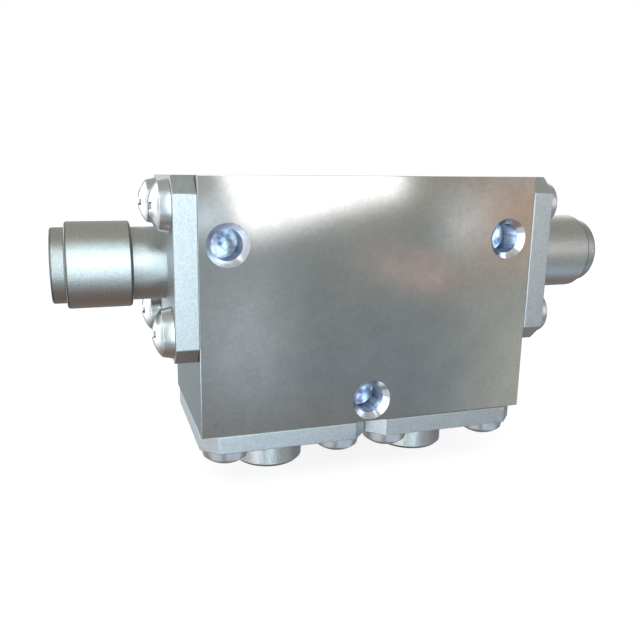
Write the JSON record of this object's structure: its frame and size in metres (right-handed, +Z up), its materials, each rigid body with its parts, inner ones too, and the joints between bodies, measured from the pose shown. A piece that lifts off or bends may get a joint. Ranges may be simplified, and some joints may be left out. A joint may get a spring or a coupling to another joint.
{
  "type": "rf isolator",
  "caption": "Dual-junction coaxial isolator: a metal block with a flanged jack at each end, two flange-mounted loads below and tapped mounting holes in its face.",
  "frame": {"origin": "on the plane of the load caps' ends, midway between the caps", "axes": "+X along the jacks' axis towards the right jack, +Y from the drilled front face to the back, +Z up"},
  "size_m": [0.0444, 0.0126, 0.0224],
  "materials": {
    "body_metal": "nickel-plated aluminium, satin",
    "shell_metal": "stainless steel, bead-blasted and turned",
    "screw_metal": "stainless steel, bright",
    "lid_metal": "plated steel, turned",
    "magnet_metal": "nickel-plated magnet",
    "pole_steel": "steel, ground",
    "ferrite": "ferrite, ground",
    "insulator_plastic": "white fluoropolymer",
    "contact_metal": "gold-plated brass",
    "conductor_metal": "etched copper alloy",
    "resistor_ceramic": "film resistor on ceramic"
  },
  "bodies": {
    "root": {"body": "body_metal", "centre_conductor": "conductor_metal", "left_back_ferrite": "ferrite", "left_back_magnet": "magnet_metal", "left_back_pole": "pole_steel", "left_front_ferrite": "ferrite", "left_front_magnet": "magnet_metal", "left_front_pole": "pole_steel", "left_jack_contact": "contact_metal", "left_jack_insulator": "insulator_plastic", "left_jack_screws": "screw_metal", "left_jack_shell": "shell_metal", "left_lid": "lid_metal", "left_load_bead": "insulator_plastic", "left_load_pin": "contact_metal", "left_load_resistor": "resistor_ceramic", "left_load_screws": "screw_metal", "left_load_shell": "shell_metal", "right_back_ferrite": "ferrite", "right_back_magnet": "magnet_metal", "right_back_pole": "pole_steel", "right_front_ferrite": "ferrite", "right_front_magnet": "magnet_metal", "right_front_pole": "pole_steel", "right_jack_contact": "contact_metal", "right_jack_insulator": "insulator_plastic", "right_jack_screws": "screw_metal", "right_jack_shell": "shell_metal", "right_lid": "lid_metal", "right_load_bead": "insulator_plastic", "right_load_pin": "contact_metal", "right_load_resistor": "resistor_ceramic", "right_load_screws": "screw_metal", "right_load_shell": "shell_metal"}
  },
  "joints": []
}
